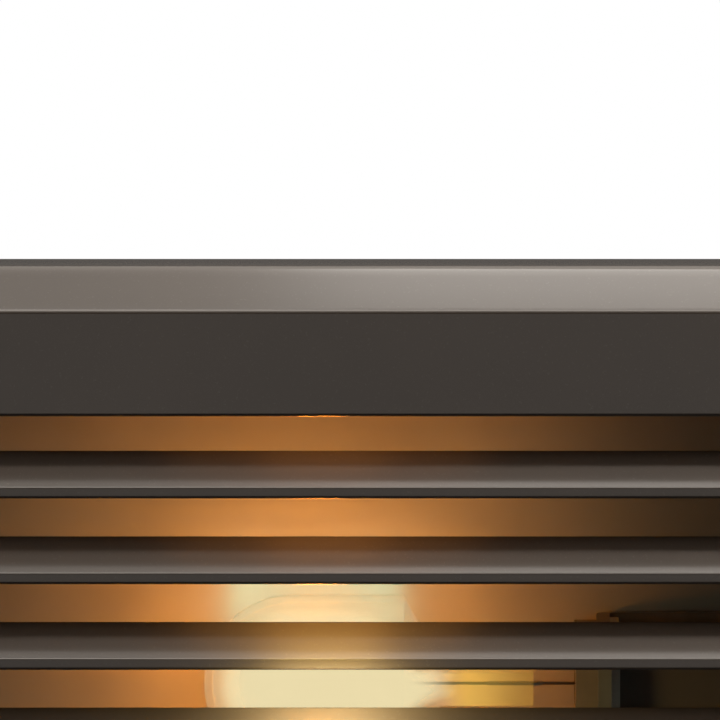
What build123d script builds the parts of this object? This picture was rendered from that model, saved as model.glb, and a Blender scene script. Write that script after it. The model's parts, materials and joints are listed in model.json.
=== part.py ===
"""Louvred step light for a brick wall, in millimetres.

A cast face with seven sloping blades covers a glass lens and a recessed housing, which holds one
low-voltage wedge lamp lying along the wall. X runs along the wall, Y into it and Z up. The origin
is the middle of the flange on the face of the wall, so the face stands out towards -Y.
"""

import os
from math import pi, radians, tan

from build123d import *

os.makedirs("parts", exist_ok=True)

# Face casting
face_width = 235.0
face_height = 82.6
face_stand_out = 12.0  # from the wall to the front plane
bevel = 3.7  # the 45 degree outer bevel, both ways
front_wall = 3.35
skirt_wall = 2.6
shoulder_round = 3.0  # where the bevel meets the skirt
bevel_edge_round = 0.7  # where the bevel meets the flat border
opening_edge_round = 0.3
corner_round = 0.6  # down the four outer corners
weep_width = 6.0  # two notches that let water out below
weep_height = 2.5
weep_spacing = 150.0

# Louvre blades, cast in one with the face
louvre_slope = 45.0  # degrees below the horizontal, towards the front
louvre_lip = 1.35  # upright front edge of a blade
louvre_gap = 2.93  # clear height between two blades
louvre_edge_round = 0.25  # top of the lip
louvre_back_round = 0.25  # the other three edges
blade_root = 0.5  # how far a blade's end runs into the border

# Housing
flange_thickness = 2.5
flange_play_side = 1.9  # flange to skirt, at the ends
flange_play_top = 0.9
flange_corner = 4.0
rim_side = 11.5  # flange beyond the body, at the ends
rim_top = 4.0
housing_depth = 64.0
housing_wall = 2.5
body_corner = 4.0
rear_edge_round = 2.5
rib_count = 5
rib_spacing = 40.0
rib_height = 2.0
rib_thickness = 2.4
rib_set_back = 18.0  # a rib's end to the back of the housing

# Seals
wall_gasket_thickness = 1.0
wall_gasket_inset = 0.4
flange_gasket_thickness = 1.5
flange_gasket_width = 4.0
flange_gasket_set_back = 1.0  # from the mouth of the housing
lens_gasket_thickness = 1.0
lens_gasket_set_back = 0.5  # from the louvre opening

# Lens and its clips
lens_thickness = 3.0
lens_corner = 2.0
lens_edge_break = 0.3
lens_lap_side = 3.0  # lens beyond the louvre opening
lens_lap_top = 2.6
lens_play_top = 1.5  # lens to the gasket rib
lens_room_side = 7.0  # the same at the ends, where the clips sit
clip_boss_r = 2.6
clip_boss_play = 0.4
clip_edge_distance = 10.8  # pivot to the lens's top or bottom edge
clip_width = 4.8
clip_thickness = 0.6
clip_reach = 5.2  # pivot to the centre of the tongue's round end
clip_screw_r = 1.25
clip_screw_bite = 3.2
clip_head_r = 2.1
clip_head_height = 1.3

# Face screws
face_screw_inset = 11.0  # from the face's end
face_screw_r = 2.05
face_screw_bite = 8.0  # shank behind the wall plane
face_head_r = 3.9
face_head_height = 2.5
face_washer_r = 4.1
face_washer_thickness = 0.8
face_head_proud = 0.4  # head above the front plane
face_pocket_play = 0.3
face_screw_boss_r = 4.4
face_screw_tip_room = 0.5  # hole beyond the screw's tip
housing_boss_r = 5.6
housing_boss_length = 11.0
running_play = 0.05  # radial, shank in bore

# Holes for the four screws into the wall
wall_hole_r = 2.5
wall_hole_inset_side = 5.5  # from the flange's edges
wall_hole_inset_top = 11.8

# Conduit entries, half inch pipe thread taken as a plain bore
entry_r = 9.9
hub_r = 14.5
hub_height = 8.0
back_entry_x = 68.0
end_entry_set_back = 19.0  # an end entry's axis to the back of the housing
plug_rim_r = 12.2
plug_rim_thickness = 1.8
plug_seal_thickness = 1.0
plug_length = 9.0
plug_socket_flats = 9.5
plug_socket_depth = 6.0

# Reflector
reflector_thickness = 0.8
reflector_left_gap = 4.0  # to the housing's end wall
reflector_right_end = 41.0
reflector_flat = 26.0  # half height of its upright back
reflector_wing_depth = 12.0
reflector_wing_play = 1.5
pad_r = 4.0
pad_height = 13.0
reflector_screw_inset = 15.0  # from the reflector's left end
reflector_screw_spacing = 20.0  # up the wall
bracket_screw_x = (27.9, 36.9)
inner_screw_r = 1.9
inner_screw_bite = 6.0
inner_head_r = 3.4
inner_head_height = 2.0
hole_play = 0.25  # radial, round screws that clamp sheet

# Lamp and its holder. The lamp's axis runs along X.
lamp_to_reflector = 13.7  # the lamp's axis to the reflector's face
lamp_r = 8.0
lamp_glass = 0.7
lamp_tip_x = -13.0
lamp_barrel_end_x = 5.0
pinch_x = 8.5  # the wedge that the glass is pinched to, wide along Y
pinch_end_x = 28.4
pinch_width = 14.5
pinch_thickness = 3.0
filament_r = 0.5
filament_x = -0.7
post_r = 0.3
post_spacing = 5.2
post_past_filament = 0.5
holder_face_x = 20.4
holder_rim_thickness = 2.0
holder_rim_width = 23.0  # widths run along Y
holder_rim_height = 9.6
holder_body_width = 18.4
holder_body_height = 7.4
holder_body_length = 13.0
holder_corner = 1.5
holder_slot_height = 4.4
holder_slot_play = 0.25
holder_slot_past_lamp = 1.0
contact_thickness = 0.4
contact_width = 4.0
contact_play = 0.1
contact_gap = 0.2  # contact to the lamp's pinch
contact_tab = 3.5  # contact behind the holder
retainer_thickness = 0.8
retainer_margin = 1.4
snap_play = 0.1
bracket_thickness = 1.2
bracket_width = 10.4
bracket_front_reach = 15.0  # in front of the lamp's axis
bracket_foot = 18.2
bracket_corner = 3.0
bracket_bend = 1.0

# Leads and wire connectors
lead_r = 1.2
connector_r = 5.2
connector_tip_r = 3.3
connector_length = 20.0
connector_set_back = 31.0  # a connector's mouth to the housing's end wall
connector_mouth_r = 3.6
connector_mouth_depth = 3.0
connector_bite = 8.0
connector_grips = 8  # flutes round a connector
connector_grip_r = 0.73
connector_depths = (16.0, 36.0)  # the two connectors, from the wall plane
lead_level_run = 3.0  # in front of a connector's mouth
lead_bend_share = 0.45  # of the shorter run beside a corner that its arc takes
lead_drawn_reach = 29.5  # from a contact to the level run, where the bends are drawn to scale

# Sizes that follow from those above
front_y = -face_stand_out
inner_front_y = front_y + front_wall
skirt_back_y = -wall_gasket_thickness
cavity_width = face_width - 2 * skirt_wall
cavity_height = face_height - 2 * skirt_wall
flange_width = cavity_width - 2 * flange_play_side
flange_height = cavity_height - 2 * flange_play_top
body_width = flange_width - 2 * rim_side
body_height = flange_height - 2 * rim_top
mouth_width = body_width - 2 * housing_wall
mouth_height = body_height - 2 * housing_wall
mouth_corner = max(body_corner - housing_wall, 0.5)
seal_width = mouth_width + 2 * flange_gasket_set_back
seal_height = mouth_height + 2 * flange_gasket_set_back
lens_width = seal_width - 2 * lens_room_side
lens_height = seal_height - 2 * lens_play_top
opening_width = lens_width - 2 * lens_lap_side
opening_height = lens_height - 2 * lens_lap_top
louvre_rise = front_wall * tan(radians(louvre_slope))
louvre_height = louvre_rise + louvre_lip
louvre_pitch = louvre_height + louvre_gap
louvre_count = int((opening_height - louvre_gap) // louvre_pitch)
flange_front_y = -flange_thickness
seal_front_y = flange_front_y - flange_gasket_thickness
lens_front_y = inner_front_y + lens_gasket_thickness
lens_back_y = lens_front_y + lens_thickness
clip_x = lens_width / 2 + clip_boss_play + clip_boss_r
clip_z = lens_height / 2 - clip_edge_distance
face_screw_x = face_width / 2 - face_screw_inset
screw_seat_y = front_y - face_head_proud + face_head_height
washer_seat_y = screw_seat_y + face_washer_thickness
wall_hole_x = flange_width / 2 - wall_hole_inset_side
wall_hole_z = flange_height / 2 - wall_hole_inset_top
floor_z = -mouth_height / 2
reflector_left = -mouth_width / 2 + reflector_left_gap
reflector_screw_x = reflector_left + reflector_screw_inset
reflector_screw_points = [(reflector_screw_x, side * reflector_screw_spacing / 2) for side in (-1, 1)]
bracket_screw_points = [(x, 0) for x in bracket_screw_x]
rib_length = housing_depth - rib_set_back
end_entry_depth = housing_depth - end_entry_set_back
back_inside_y = housing_depth - housing_wall
pad_face_y = back_inside_y - pad_height
reflector_face_y = pad_face_y - reflector_thickness
foot_face_y = reflector_face_y - bracket_thickness
lamp_depth = reflector_face_y - lamp_to_reflector
bracket_front_y = lamp_depth - bracket_front_reach
wing_tip_z = mouth_height / 2 - reflector_wing_play
wing_tip_y = pad_face_y - reflector_wing_depth
plate_x = holder_face_x + holder_rim_thickness
holder_back_x = plate_x + holder_body_length
contact_z = pinch_thickness / 2 + contact_gap + contact_thickness / 2
lead_start_x = holder_back_x + contact_tab
connector_mouth_x = mouth_width / 2 - connector_set_back
lead_reach = connector_mouth_x - lead_level_run - lead_start_x


def at_depth(y):
    """A plane parallel to the wall: its X and Y run along the row's X and Z, and it faces front."""
    return Plane.XZ.offset(-y)


def facing_back(y):
    """A plane parallel to the wall that faces into it, so its X runs along -X."""
    return Plane(origin=(0, y, 0), x_dir=(-1, 0, 0), z_dir=(0, 1, 0))


lamp_plane = Plane(origin=(0, lamp_depth, 0), x_dir=(1, 0, 0), z_dir=(0, 0, 1))


def across_lamp(x):
    """A plane across the lamp's axis at x: its X and Y run along the part's Y and Z."""
    return Plane(origin=(x, lamp_depth, 0), x_dir=(0, 1, 0), z_dir=(1, 0, 0))


def cross_head_screw(shank_r, shank_length, head_r, head_height):
    """A domed screw along Z: the head sits on Z = 0 and the shank runs down from it."""
    drive_arm = head_r * 0.58
    drive_slot = head_r * 0.2
    drive_depth = head_height * 0.6
    tip_break = shank_r * 0.25
    with BuildPart() as screw:
        with BuildSketch(Plane.XZ):
            with BuildLine():
                crown = (0, head_height)
                rim = (head_r, head_height * 0.35)
                ThreePointArc(crown, (head_r * 0.72, head_height * 0.8), rim)
                Polyline(
                    rim,
                    (head_r, 0),
                    (shank_r, 0),
                    (shank_r, tip_break - shank_length),
                    (shank_r - tip_break, -shank_length),
                    (0, -shank_length),
                    crown,
                )
            make_face()
        revolve(axis=Axis.Z)
        with BuildSketch(Plane.XY.offset(head_height)):
            Rectangle(2 * drive_arm, drive_slot)
            Rectangle(drive_slot, 2 * drive_arm)
        extrude(amount=-drive_depth, mode=Mode.SUBTRACT)
    return screw.part


def flat_ring(y, thickness, outer, inner, corner):
    """A flat rectangular seal whose front lies at y. outer and inner are (width, height)."""
    with BuildPart() as ring:
        with BuildSketch(at_depth(y)):
            RectangleRounded(*outer, corner)
            RectangleRounded(*inner, corner, mode=Mode.SUBTRACT)
        extrude(amount=-thickness)
    return ring.part


def keep(part, name):
    """Labels a finished piece and writes its file."""
    part.label = name
    export_step(part, f"parts/{name}.step")


# ---- The face, with its blades ----

stack_height = louvre_count * louvre_pitch - louvre_gap
first_blade_top = stack_height / 2

with BuildPart() as louvred_faceplate:
    with BuildSketch(at_depth(skirt_back_y)):
        Rectangle(face_width, face_height)
    extrude(amount=skirt_back_y - front_y - bevel)
    with BuildSketch(at_depth(front_y + bevel)):
        Rectangle(face_width, face_height)
    extrude(amount=bevel, taper=45)
    # From the front back, the edges lie in groups: outline, mitres, shoulder, skirt corners, rim.
    shoulder = louvred_faceplate.edges().group_by(Axis.Y)[2]
    fillet(shoulder, shoulder_round)
    outer_corners = louvred_faceplate.edges().filter_by(
        lambda edge: abs(edge.tangent_at(0.5).X) < 0.99 and abs(edge.tangent_at(0.5).Z) < 0.99
    )
    fillet(outer_corners, corner_round)
    front_outline = louvred_faceplate.faces().sort_by(Axis.Y)[0].edges()
    fillet(front_outline, bevel_edge_round)

    with BuildSketch(at_depth(skirt_back_y)):
        Rectangle(cavity_width, cavity_height)
    extrude(amount=skirt_back_y - inner_front_y, mode=Mode.SUBTRACT)

    with BuildSketch(at_depth(skirt_back_y)):
        with Locations((0, (skirt_wall - face_height) / 2)):
            with GridLocations(weep_spacing, 0, 2, 1):
                Rectangle(weep_width, 2 * skirt_wall)
    extrude(amount=weep_height, mode=Mode.SUBTRACT)

    with BuildSketch(at_depth(inner_front_y)):
        RectangleRounded(
            seal_width + 2 * flange_gasket_width, seal_height + 2 * flange_gasket_width, body_corner
        )
        RectangleRounded(seal_width, seal_height, mouth_corner, mode=Mode.SUBTRACT)
    extrude(amount=inner_front_y - seal_front_y)

    with BuildSketch(at_depth(inner_front_y)):
        with GridLocations(2 * clip_x, 2 * clip_z, 2, 2):
            Circle(clip_boss_r)
    extrude(amount=inner_front_y - lens_back_y)
    with BuildSketch(at_depth(inner_front_y)):
        with GridLocations(2 * face_screw_x, 0, 2, 1):
            Circle(face_screw_boss_r)
    extrude(amount=inner_front_y - seal_front_y)

    with BuildSketch(at_depth(front_y)):
        Rectangle(opening_width, opening_height)
    extrude(amount=-front_wall, mode=Mode.SUBTRACT)
    opening_front = (
        louvred_faceplate.faces().sort_by(Axis.Y)[0].inner_wires()[0].edges()
    )
    fillet(opening_front, opening_edge_round)

    for blade in range(louvre_count):
        crest = first_blade_top - blade * louvre_pitch
        with BuildSketch(Plane.YZ) as blade_profile:
            Polygon(
                (front_y, crest - louvre_rise),
                (inner_front_y, crest),
                (inner_front_y, crest - louvre_lip),
                (front_y, crest - louvre_height),
                align=None,
            )
            corners_front_to_back = blade_profile.vertices().group_by(Axis.X)
            lip_bottom = corners_front_to_back[0].sort_by(Axis.Y)[0]
            fillet([lip_bottom, *corners_front_to_back[-1]], louvre_back_round)
            lip_top = blade_profile.vertices().group_by(Axis.X)[0].sort_by(Axis.Y)[-1]
            fillet(lip_top, louvre_edge_round)
        extrude(amount=opening_width / 2 + blade_root, both=True)

    with Locations(at_depth(front_y).location):
        with GridLocations(2 * face_screw_x, 0, 2, 1):
            CounterBoreHole(
                radius=face_screw_r + hole_play,
                counter_bore_radius=face_washer_r + face_pocket_play,
                counter_bore_depth=washer_seat_y - front_y,
            )
    with Locations(facing_back(lens_back_y).location):
        with GridLocations(2 * clip_x, 2 * clip_z, 2, 2):
            Hole(radius=clip_screw_r + running_play, depth=clip_screw_bite)
keep(louvred_faceplate.part, "louvred_faceplate")

wall_gasket = flat_ring(
    skirt_back_y,
    wall_gasket_thickness,
    (face_width - 2 * wall_gasket_inset, face_height - 2 * wall_gasket_inset),
    (cavity_width, cavity_height),
    corner_round,
)
keep(wall_gasket, "wall_gasket")

# ---- Lens, its seal and its clips ----

lens_gasket = flat_ring(
    inner_front_y,
    lens_gasket_thickness,
    (lens_width, lens_height),
    (opening_width + 2 * lens_gasket_set_back, opening_height + 2 * lens_gasket_set_back),
    lens_corner,
)
keep(lens_gasket, "lens_gasket")

with BuildPart() as lens:
    with BuildSketch(at_depth(lens_front_y)):
        RectangleRounded(lens_width, lens_height, lens_corner)
    extrude(amount=-lens_thickness)
    rims = lens.faces().sort_by(Axis.Y)
    chamfer(rims[0].edges() + rims[-1].edges(), lens_edge_break)
keep(lens.part, "lens")

clip_corners = {
    "left_upper": (-1, 1),
    "left_lower": (-1, -1),
    "right_upper": (1, 1),
    "right_lower": (1, -1),
}
for corner, (side, level) in clip_corners.items():
    with BuildPart() as lens_clip:
        with BuildSketch(at_depth(lens_back_y)):
            with Locations((side * (clip_x - clip_reach / 2), level * clip_z)):
                SlotCenterToCenter(clip_reach, clip_width)
            with Locations((side * clip_x, level * clip_z)):
                Circle(clip_screw_r + running_play, mode=Mode.SUBTRACT)
        extrude(amount=-clip_thickness)
    keep(lens_clip.part, f"lens_clip_{corner}")

with BuildPart() as lens_clip_screws:
    with Locations(facing_back(lens_back_y + clip_thickness).location):
        with GridLocations(2 * clip_x, 2 * clip_z, 2, 2):
            add(
                cross_head_screw(
                    clip_screw_r,
                    clip_screw_bite + clip_thickness - running_play,
                    clip_head_r,
                    clip_head_height,
                )
            )
keep(lens_clip_screws.part, "lens_clip_screws")

# ---- Face screws ----

for end, side in {"left": -1, "right": 1}.items():
    with BuildPart() as face_screw_washer:
        with BuildSketch(at_depth(washer_seat_y)):
            with Locations((side * face_screw_x, 0)):
                Circle(face_washer_r)
                Circle(face_screw_r + running_play, mode=Mode.SUBTRACT)
        extrude(amount=face_washer_thickness)
    keep(face_screw_washer.part, f"face_screw_washer_{end}")

    with BuildPart() as face_screw:
        with Locations(at_depth(screw_seat_y).location):
            with Locations((side * face_screw_x, 0)):
                add(
                    cross_head_screw(
                        face_screw_r,
                        face_screw_bite - screw_seat_y,
                        face_head_r,
                        face_head_height,
                    )
                )
    keep(face_screw.part, f"face_screw_{end}")

# ---- Housing ----

with BuildPart() as housing:
    with BuildSketch(at_depth(0)):
        RectangleRounded(body_width, body_height, body_corner)
    extrude(amount=-housing_depth)
    fillet(housing.faces().sort_by(Axis.Y)[-1].edges(), rear_edge_round)
    with BuildSketch(at_depth(0)):
        RectangleRounded(flange_width, flange_height, flange_corner)
    extrude(amount=flange_thickness)

    for level in (-1, 1):
        with BuildSketch(Plane.XZ):
            with Locations((0, level * (body_height + rib_height) / 2)):
                with GridLocations(rib_spacing, 0, rib_count, 1):
                    Rectangle(rib_thickness, rib_height)
        extrude(amount=-rib_length)

    with BuildSketch(at_depth(0)):
        with GridLocations(2 * face_screw_x, 0, 2, 1):
            Circle(housing_boss_r)
    extrude(amount=-housing_boss_length)

    with BuildSketch(at_depth(housing_depth)):
        with Locations((back_entry_x, 0)):
            Circle(hub_r)
    extrude(amount=-hub_height)
    for side in (-1, 1):
        with BuildSketch(Plane.YZ.offset(side * body_width / 2)):
            with Locations((end_entry_depth, 0)):
                Circle(hub_r)
        extrude(amount=side * hub_height)

    with BuildSketch(at_depth(flange_front_y)):
        RectangleRounded(mouth_width, mouth_height, mouth_corner)
    extrude(amount=flange_front_y - back_inside_y, mode=Mode.SUBTRACT)

    with BuildSketch(at_depth(back_inside_y)):
        with Locations(*reflector_screw_points, *bracket_screw_points):
            Circle(pad_r)
    extrude(amount=pad_height)

    with BuildSketch(at_depth(back_inside_y)):
        with Locations((back_entry_x, 0)):
            Circle(entry_r)
    extrude(amount=-(housing_wall + hub_height), mode=Mode.SUBTRACT)
    with BuildSketch(Plane.YZ):
        with Locations((end_entry_depth, 0)):
            Circle(entry_r)
    extrude(amount=body_width / 2 + hub_height, both=True, mode=Mode.SUBTRACT)

    with Locations(at_depth(flange_front_y).location):
        with GridLocations(2 * wall_hole_x, 2 * wall_hole_z, 2, 2):
            Hole(radius=wall_hole_r, depth=flange_thickness)
        with GridLocations(2 * face_screw_x, 0, 2, 1):
            Hole(
                radius=face_screw_r + running_play,
                depth=flange_thickness + face_screw_bite + face_screw_tip_room,
            )
    with Locations(at_depth(pad_face_y).location):
        with Locations(*reflector_screw_points, *bracket_screw_points):
            Hole(radius=inner_screw_r + running_play, depth=inner_screw_bite)
keep(housing.part, "housing")

flange_gasket = flat_ring(
    seal_front_y,
    flange_gasket_thickness,
    (seal_width + 2 * flange_gasket_width, seal_height + 2 * flange_gasket_width),
    (seal_width, seal_height),
    mouth_corner,
)
keep(flange_gasket, "flange_gasket")

with BuildPart() as conduit_plug:
    Cylinder(entry_r - running_play, plug_length, align=(Align.CENTER, Align.CENTER, Align.MAX))
    Cylinder(plug_rim_r, plug_rim_thickness, align=(Align.CENTER, Align.CENTER, Align.MIN))
    chamfer(conduit_plug.faces().sort_by(Axis.Z)[-1].edges(), plug_rim_thickness / 3)
    with BuildSketch(Plane.XY.offset(plug_rim_thickness)):
        RegularPolygon(plug_socket_flats / 2, 6, major_radius=False)
    extrude(amount=-plug_socket_depth, mode=Mode.SUBTRACT)

for end, side in {"left": -1, "right": 1}.items():
    hub_face = Plane(
        origin=(side * (body_width / 2 + hub_height), end_entry_depth, 0),
        x_dir=(0, side, 0),
        z_dir=(side, 0, 0),
    )
    with BuildPart() as plug_seal:
        with BuildSketch(hub_face):
            Circle(plug_rim_r)
            Circle(entry_r, mode=Mode.SUBTRACT)
        extrude(amount=plug_seal_thickness)
    keep(plug_seal.part, f"conduit_plug_seal_{end}")

    with BuildPart() as placed_plug:
        with Locations(hub_face.offset(plug_seal_thickness).location):
            add(conduit_plug.part)
    keep(placed_plug.part, f"conduit_plug_{end}")

# ---- Reflector ----

with BuildPart() as reflector:
    with BuildSketch(Plane.YZ.offset(reflector_left)):
        with BuildLine():
            Polyline(
                (wing_tip_y, wing_tip_z),
                (pad_face_y, reflector_flat),
                (pad_face_y, -reflector_flat),
                (wing_tip_y, -wing_tip_z),
            )
            offset(amount=reflector_thickness, side=Side.RIGHT, kind=Kind.INTERSECTION)
        make_face()
    extrude(amount=reflector_right_end - reflector_left)
    with Locations(at_depth(reflector_face_y).location):
        with Locations(*reflector_screw_points, *bracket_screw_points):
            Hole(radius=inner_screw_r + hole_play, depth=reflector_thickness)
keep(reflector.part, "reflector")

with BuildPart() as reflector_screws:
    with Locations(at_depth(reflector_face_y).location):
        with Locations(*reflector_screw_points):
            add(
                cross_head_screw(
                    inner_screw_r,
                    inner_screw_bite + reflector_thickness - running_play,
                    inner_head_r,
                    inner_head_height,
                )
            )
keep(reflector_screws.part, "reflector_screws")

# ---- Bracket, lamp holder and contacts ----

with BuildPart() as holder_bracket:
    with BuildSketch(Plane.XY.offset(-bracket_width / 2)) as bracket_plan:
        Polygon(
            (plate_x, bracket_front_y),
            (plate_x, reflector_face_y),
            (plate_x + bracket_foot, reflector_face_y),
            (plate_x + bracket_foot, foot_face_y),
            (plate_x + bracket_thickness, foot_face_y),
            (plate_x + bracket_thickness, bracket_front_y),
            align=None,
        )
        outside_bend = bracket_plan.vertices().group_by(Axis.X)[0].sort_by(Axis.Y)[-1]
        fillet(outside_bend, bracket_bend + bracket_thickness)
        inside_bend = bracket_plan.vertices().group_by(Axis.Y)[-2].sort_by(Axis.X)[0]
        fillet(inside_bend, bracket_bend)
    extrude(amount=bracket_width)
    front_corners = holder_bracket.edges().filter_by(Axis.X).group_by(Axis.Y)[0]
    fillet(front_corners, bracket_corner)
    with BuildSketch(across_lamp(plate_x)):
        Rectangle(holder_body_width + 2 * snap_play, holder_body_height + 2 * snap_play)
    extrude(amount=bracket_thickness, mode=Mode.SUBTRACT)
    with Locations(at_depth(foot_face_y).location):
        with Locations(*bracket_screw_points):
            Hole(radius=inner_screw_r + hole_play, depth=bracket_thickness)
keep(holder_bracket.part, "holder_bracket")

with BuildPart() as bracket_screws:
    with Locations(at_depth(foot_face_y).location):
        with Locations(*bracket_screw_points):
            add(
                cross_head_screw(
                    inner_screw_r,
                    inner_screw_bite + reflector_thickness + bracket_thickness - running_play,
                    inner_head_r,
                    inner_head_height,
                )
            )
keep(bracket_screws.part, "bracket_screws")

with BuildPart() as lamp_holder:
    with BuildSketch(across_lamp(holder_face_x)):
        RectangleRounded(holder_rim_width, holder_rim_height, holder_corner)
    extrude(amount=holder_rim_thickness)
    with BuildSketch(across_lamp(plate_x)):
        Rectangle(holder_body_width, holder_body_height)
    extrude(amount=holder_body_length)
    with BuildSketch(across_lamp(holder_face_x)):
        Rectangle(pinch_width + 2 * holder_slot_play, holder_slot_height)
    extrude(amount=pinch_end_x + holder_slot_past_lamp - holder_face_x, mode=Mode.SUBTRACT)
    with BuildSketch(across_lamp(holder_face_x)):
        with GridLocations(0, 2 * contact_z, 1, 2):
            Rectangle(contact_width + 2 * contact_play, contact_thickness + 2 * contact_play)
    extrude(amount=holder_back_x - holder_face_x, mode=Mode.SUBTRACT)
keep(lamp_holder.part, "lamp_holder")

with BuildPart() as holder_contacts:
    with BuildSketch(across_lamp(plate_x)):
        with GridLocations(0, 2 * contact_z, 1, 2):
            Rectangle(contact_width, contact_thickness)
    extrude(amount=holder_back_x + contact_tab - plate_x)
keep(holder_contacts.part, "holder_contacts")

with BuildPart() as holder_retainer:
    with BuildSketch(across_lamp(plate_x + bracket_thickness)):
        RectangleRounded(
            holder_body_width + 2 * retainer_margin,
            holder_body_height + 2 * retainer_margin,
            holder_corner,
        )
        Rectangle(
            holder_body_width + snap_play, holder_body_height + snap_play, mode=Mode.SUBTRACT
        )
    extrude(amount=retainer_thickness)
keep(holder_retainer.part, "holder_retainer")

# ---- Lamp ----

nose_x = lamp_tip_x + lamp_r
with BuildPart() as lamp_envelope:
    for r, mode in ((lamp_r, Mode.ADD), (lamp_r - lamp_glass, Mode.SUBTRACT)):
        with BuildSketch(lamp_plane):
            with BuildLine():
                RadiusArc((nose_x - r, 0), (nose_x, r), r)
                Polyline((nose_x, r), (lamp_barrel_end_x, r), (lamp_barrel_end_x, 0), (nose_x - r, 0))
            make_face()
        revolve(axis=Axis(lamp_plane.origin, lamp_plane.x_dir), mode=mode)
    with BuildSketch(across_lamp(lamp_barrel_end_x)):
        Circle(lamp_r)
    with BuildSketch(across_lamp(pinch_x)):
        SlotOverall(pinch_width, pinch_thickness)
    loft()
    with BuildSketch(across_lamp(pinch_x)):
        SlotOverall(pinch_width, pinch_thickness)
    extrude(amount=pinch_end_x - pinch_x)
keep(lamp_envelope.part, "lamp_envelope")

with BuildPart() as lamp_support_wires:
    with BuildSketch(across_lamp(lamp_barrel_end_x)):
        with GridLocations(post_spacing, 0, 2, 1):
            Circle(post_r)
    extrude(amount=filament_x - post_past_filament - lamp_barrel_end_x)
keep(lamp_support_wires.part, "lamp_support_wires")

with BuildPart() as lamp_filament:
    with Locations(Plane.XZ.offset(-lamp_depth).shift_origin((filament_x, lamp_depth, 0)).location):
        Cylinder(filament_r, post_spacing - 2 * post_r)
keep(lamp_filament.part, "lamp_filament")

# ---- Leads and wire connectors ----

connector_z = floor_z + connector_r
with BuildPart() as wire_connector:
    with BuildSketch(Plane.XZ):
        with BuildLine():
            Polyline(
                (connector_mouth_depth, 0),
                (connector_mouth_depth, connector_mouth_r),
                (0, connector_mouth_r),
                (0, connector_r),
                (connector_mouth_depth, connector_r),
                (connector_length, connector_tip_r),
                (connector_length, 0),
                close=True,
            )
        make_face()
    revolve(axis=Axis.X)
    with BuildSketch(Plane.YZ.offset(connector_mouth_depth * 2)):
        with PolarLocations(connector_r, connector_grips, start_angle=180 / connector_grips):
            Circle(connector_grip_r)
    extrude(amount=connector_length, mode=Mode.SUBTRACT)
    with BuildSketch(Plane.YZ):
        Circle(lead_r + running_play)
    extrude(amount=connector_mouth_depth + connector_bite, mode=Mode.SUBTRACT)

with BuildPart() as wire_connectors:
    for depth in connector_depths:
        with Locations((connector_mouth_x, depth, connector_z)):
            add(wire_connector.part)
keep(wire_connectors.part, "wire_connectors")

# Each lead leaves its contact at the back of the holder, drops to the floor and runs into its
# connector. The middle points of its route are chosen by hand, from the contact's end, and
# draw closer or apart along X with the distance from the contact to the connector.
black_bends = [(8, 0, 0), (15.5, -3.5, -4.8), (20.5, -9.5, -12.5), (24, -15, -20.5)]
white_bends = [(9, 0, 0), (17, 1.5, -4.2), (21.5, 3.5, -12.5), (24.5, 3.5, -21.5)]
lead_routes = {
    "lead_black": (-contact_z, black_bends, connector_depths[0]),
    "lead_white": (contact_z, white_bends, connector_depths[1]),
}
stretch = lead_reach / lead_drawn_reach
for name, (start_z, bends, end_depth) in lead_routes.items():
    start = Vector(lead_start_x, lamp_depth, start_z)
    route = [
        start,
        *[start + Vector(x * stretch, y, z) for x, y, z in bends],
        Vector(connector_mouth_x - lead_level_run, end_depth, connector_z),
        Vector(connector_mouth_x + connector_mouth_depth + connector_bite, end_depth, connector_z),
    ]
    runs = [after - before for before, after in zip(route, route[1:])]
    radii = []
    for before, after in zip(runs, runs[1:]):
        half_turn = radians(before.get_angle(after)) / 2
        radii.append(lead_bend_share * min(before.length, after.length) / tan(half_turn))
    with BuildPart() as lead:
        with BuildLine():
            path = FilletPolyline(*route, radius=radii)
        with BuildSketch(Plane(origin=path @ 0, z_dir=path % 0)):
            Circle(lead_r)
        sweep()
    tube_share = lead.part.volume / (pi * lead_r**2 * path.length)
    print(name, "bend radii", [round(radius, 1) for radius in radii], "volume share", round(tube_share, 4))
    keep(lead.part, name)
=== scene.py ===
import json
import math

import bmesh
import bpy
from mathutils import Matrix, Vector

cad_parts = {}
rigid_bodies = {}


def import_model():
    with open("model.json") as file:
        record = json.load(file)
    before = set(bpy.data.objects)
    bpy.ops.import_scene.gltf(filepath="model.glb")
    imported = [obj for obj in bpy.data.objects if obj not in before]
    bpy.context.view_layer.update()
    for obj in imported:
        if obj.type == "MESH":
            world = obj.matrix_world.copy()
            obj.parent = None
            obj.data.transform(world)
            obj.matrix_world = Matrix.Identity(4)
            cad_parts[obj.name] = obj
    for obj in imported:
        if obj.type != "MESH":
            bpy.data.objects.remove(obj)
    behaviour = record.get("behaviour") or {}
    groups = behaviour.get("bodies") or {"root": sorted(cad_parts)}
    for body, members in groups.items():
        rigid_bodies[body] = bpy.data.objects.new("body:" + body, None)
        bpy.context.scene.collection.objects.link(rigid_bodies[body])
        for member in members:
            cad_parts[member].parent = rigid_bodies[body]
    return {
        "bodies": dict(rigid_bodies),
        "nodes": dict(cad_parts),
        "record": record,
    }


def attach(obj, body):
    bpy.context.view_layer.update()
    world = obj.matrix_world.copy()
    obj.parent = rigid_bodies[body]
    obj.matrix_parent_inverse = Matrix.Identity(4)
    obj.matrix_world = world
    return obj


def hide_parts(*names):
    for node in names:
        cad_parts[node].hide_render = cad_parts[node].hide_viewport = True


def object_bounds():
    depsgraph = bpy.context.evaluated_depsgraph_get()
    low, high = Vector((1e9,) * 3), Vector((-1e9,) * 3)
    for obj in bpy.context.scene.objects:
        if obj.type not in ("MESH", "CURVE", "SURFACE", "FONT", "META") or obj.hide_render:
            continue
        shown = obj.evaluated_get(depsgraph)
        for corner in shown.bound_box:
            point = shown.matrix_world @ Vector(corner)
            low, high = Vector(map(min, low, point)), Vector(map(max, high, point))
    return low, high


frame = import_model()
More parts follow.
